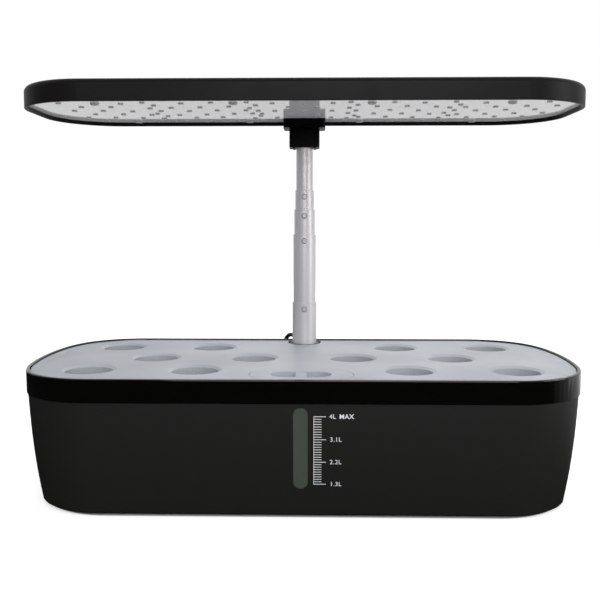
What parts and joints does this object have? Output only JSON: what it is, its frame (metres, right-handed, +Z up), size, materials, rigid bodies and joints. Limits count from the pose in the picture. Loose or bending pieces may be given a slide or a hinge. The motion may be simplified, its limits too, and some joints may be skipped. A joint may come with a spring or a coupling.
{
  "type": "countertop hydroponic garden",
  "caption": "Long round-cornered water tank with a lift-off planting deck of round pod holes, under a flat grow lamp on a telescopic pole.",
  "frame": {"origin": "on the surface that the feet stand on, under the middle of the lamp and tank box, the cord's pieces left out", "axes": "+Z up, +X to the right along the tank's length, the front with the water window faces -Y"},
  "size_m": [0.412, 0.2577, 0.297],
  "materials": {
    "black_shell": "fine matte moulding texture",
    "gloss_black": "high gloss",
    "smoked_window": "smoked translucent, polished",
    "black_rubber": "matte",
    "pole_metal": "satin",
    "pump_black": "satin",
    "ceramic": "polished",
    "lead_sheath": "smooth satin",
    "tie_black": "woven hook-and-loop",
    "adapter_black": "fine matte moulding texture",
    "prong_metal": "bright nickel",
    "deck_grey": "fine satin moulding texture",
    "glide_plastic": "satin",
    "lamp_black": "fine satin moulding texture",
    "board_white": "mirror-like light grey",
    "white_chip": "clear lens over a pale phosphor",
    "red_chip": "clear lens over a red die",
    "screw_steel": "bright",
    "circuit_green": "solder-mask gloss",
    "switch_black": "satin",
    "button_grey": "satin",
    "impeller_white": "satin"
  },
  "bodies": {
    "root": {"tank": "black_shell", "rim_band": "gloss_black", "water_window": "smoked_window", "feet": "black_rubber", "pole_bush": "black_shell", "tube_5": "pole_metal", "pump_body": "pump_black", "pump_cover": "pump_black", "pump_nozzle": "pump_black", "impeller_shaft": "ceramic", "suction_cups": "black_rubber", "pump_lead": "lead_sheath", "strain_relief": "lead_sheath", "lead_run": "lead_sheath", "lead_coil": "lead_sheath", "coil_tie": "tie_black", "power_adapter": "adapter_black", "adapter_prongs": "prong_metal"},
    "deck": {"deck": "deck_grey"},
    "fill_lid": {"fill_lid": "deck_grey"},
    "tube_4": {"tube_4": "pole_metal", "glide_4": "glide_plastic"},
    "tube_3": {"tube_3": "pole_metal", "glide_3": "glide_plastic"},
    "tube_2": {"tube_2": "pole_metal", "glide_2": "glide_plastic"},
    "lamp": {"tube_1": "pole_metal", "glide_1": "glide_plastic", "lamp_socket": "black_shell", "lamp_housing": "lamp_black", "led_board": "board_white", "white_leds": "white_chip", "red_leds": "red_chip", "lamp_screws": "screw_steel", "control_board": "circuit_green", "tact_switches": "switch_black", "lamp_lead": "lead_sheath"},
    "light_button": {"light_button": "button_grey"},
    "mode_button": {"mode_button": "button_grey"},
    "impeller": {"impeller": "impeller_white"}
  },
  "joints": [
    {"name": "tube_4_slide", "type": "slide", "parent": "root", "child": "tube_4", "axis": [0, 0, 1], "range_m": [-0.0548, 0.0222]},
    {"name": "tube_3_slide", "type": "slide", "parent": "tube_4", "child": "tube_3", "axis": [0, 0, 1], "range_m": [-0.018, 0.059]},
    {"name": "tube_2_slide", "type": "slide", "parent": "tube_3", "child": "tube_2", "axis": [0, 0, 1], "range_m": [-0.0131, 0.0639]},
    {"name": "lamp_slide", "type": "slide", "parent": "tube_2", "child": "lamp", "axis": [0, 0, 1], "range_m": [-0.0324, 0.0446]},
    {"name": "deck_lift", "type": "slide", "parent": "root", "child": "deck", "axis": [0, 0, 1], "range_m": [0, 0.06]},
    {"name": "fill_lid_lift", "type": "slide", "parent": "deck", "child": "fill_lid", "axis": [0, 0, 1], "range_m": [0, 0.04]},
    {"name": "light_button_press", "type": "slide", "parent": "lamp", "child": "light_button", "axis": [0, 0, 1], "range_m": [-0.0005, 0], "stiffness_N_per_m": 900, "springref_m": 0.0008},
    {"name": "mode_button_press", "type": "slide", "parent": "lamp", "child": "mode_button", "axis": [0, 0, 1], "range_m": [-0.0005, 0], "stiffness_N_per_m": 900, "springref_m": 0.0008},
    {"name": "impeller_spin", "type": "hinge", "parent": "root", "child": "impeller", "pos_m": [0.096, 0.01, 0.0209], "axis": [0, 1, 0], "continuous": true}
  ]
}
